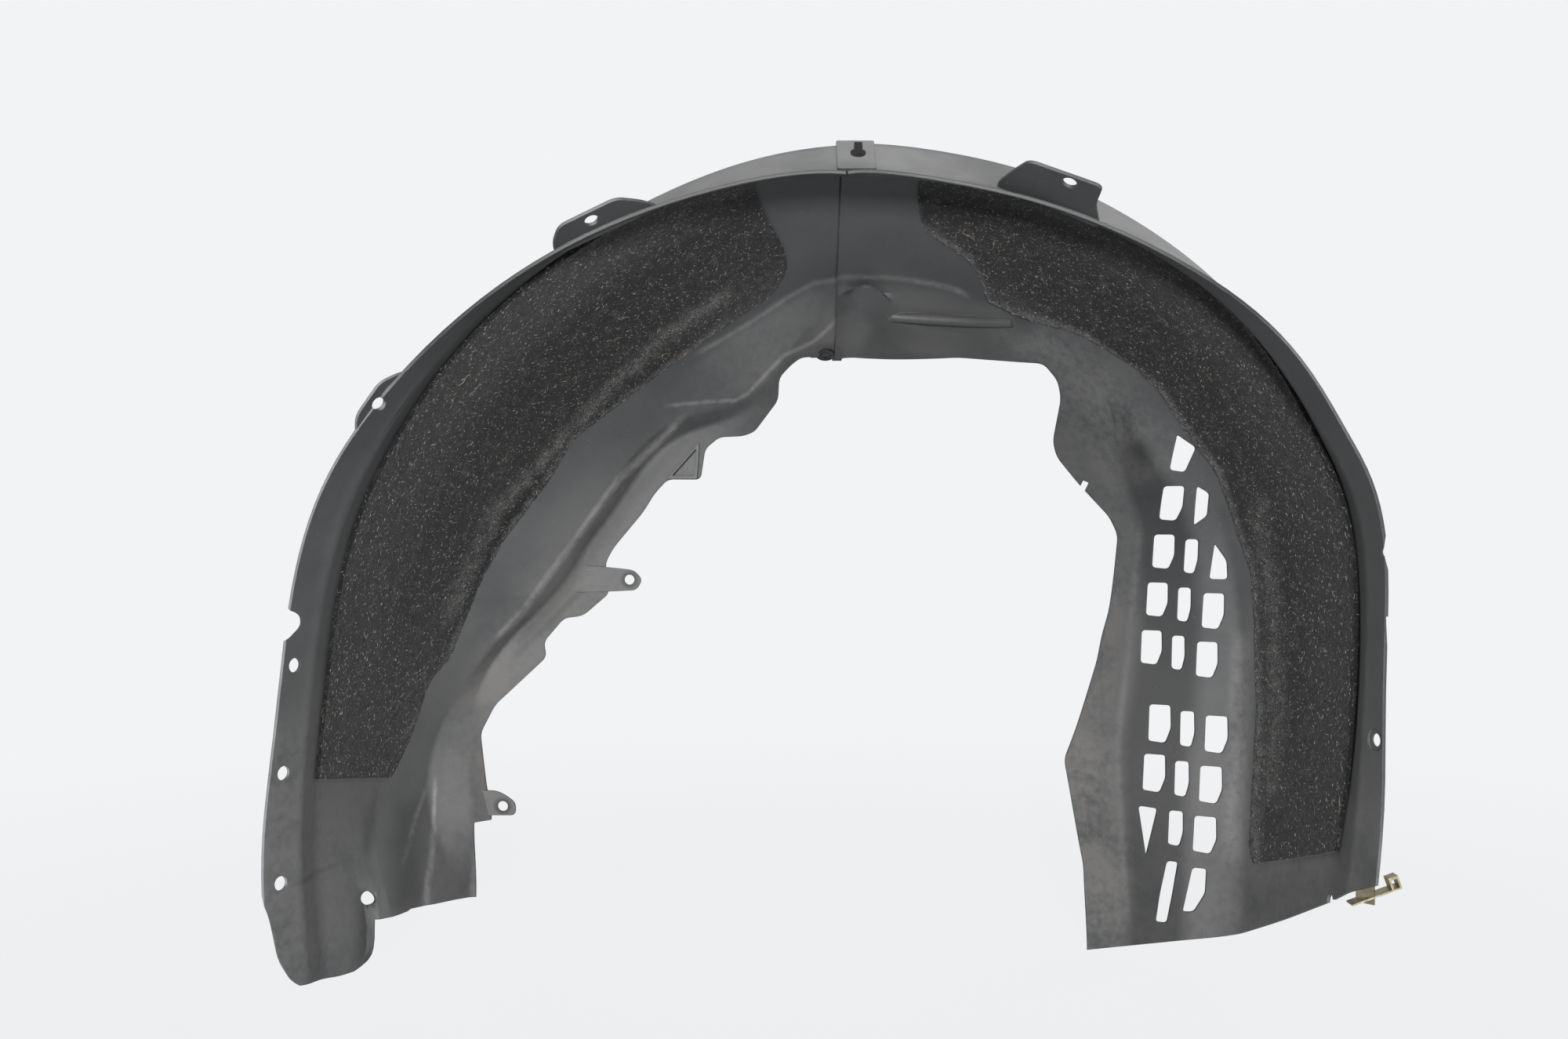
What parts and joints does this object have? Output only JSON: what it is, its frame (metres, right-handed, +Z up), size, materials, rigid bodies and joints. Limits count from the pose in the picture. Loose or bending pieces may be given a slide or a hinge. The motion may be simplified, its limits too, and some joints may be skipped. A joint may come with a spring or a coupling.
{
  "type": "wheel arch liner",
  "caption": "Front wheel arch liner: moulded arch halves riveted at the crown, with felt pads, a slotted vent panel, a lower flap and screw flanges.",
  "frame": {"origin": "middle of the box round the whole part", "axes": "+X to the front of the car, +Y inboard along the wheel axis, +Z up"},
  "size_m": [0.7792, 0.3246, 0.6328],
  "materials": {
    "liner_plastic": "moulded, satin, lightly scuffed",
    "felt": "needle felt with short pale fibres",
    "rivet_plastic": "moulded",
    "clip_steel": "yellow zinc plated"
  },
  "bodies": {
    "root": {"rear_liner": "liner_plastic", "front_liner": "liner_plastic", "rear_felt": "felt", "front_felt": "felt", "top_rivet": "rivet_plastic", "lower_rivet": "rivet_plastic", "lower_rivet_pin": "rivet_plastic", "corner_clip": "clip_steel"}
  },
  "joints": []
}
